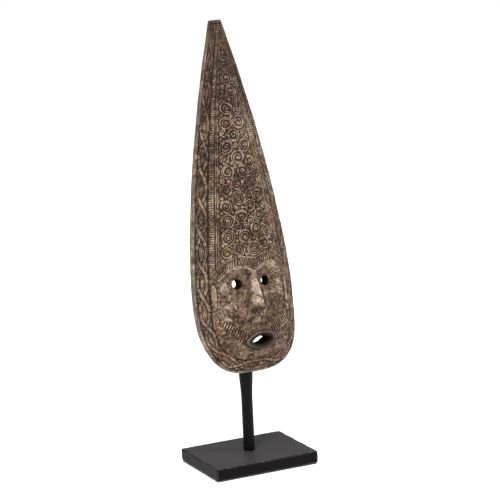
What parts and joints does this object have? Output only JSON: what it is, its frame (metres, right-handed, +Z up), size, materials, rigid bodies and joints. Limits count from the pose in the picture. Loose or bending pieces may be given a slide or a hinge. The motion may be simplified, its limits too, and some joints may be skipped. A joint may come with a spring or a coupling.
{
  "type": "carved mask on stand",
  "caption": "Tall tapering carved wooden mask with pierced eyes and mouth and a hollow back, screwed to a flared black post on a rectangular base block.",
  "frame": {"origin": "middle of the felt underside, on the surface the base rests on", "axes": "+Z up, +X to the viewer's right along the base's long side, the mask's face looks along -Y"},
  "size_m": [0.18, 0.148, 0.7049],
  "materials": {
    "carved_wood": "weathered brown stain, dark in the cuts and rubbed pale on the ridges",
    "post_black": "satin black paint",
    "base_black": "satin black paint",
    "black_felt": "pressed felt",
    "screw_steel": "bright steel",
    "washer_zinc": "zinc plated"
  },
  "bodies": {
    "root": {"mask": "carved_wood", "post": "post_black", "base_block": "base_black", "felt_pad": "black_felt", "mask_screw_lower": "screw_steel", "mask_screw_upper": "screw_steel", "base_screw": "screw_steel", "base_washer": "washer_zinc"}
  },
  "joints": []
}
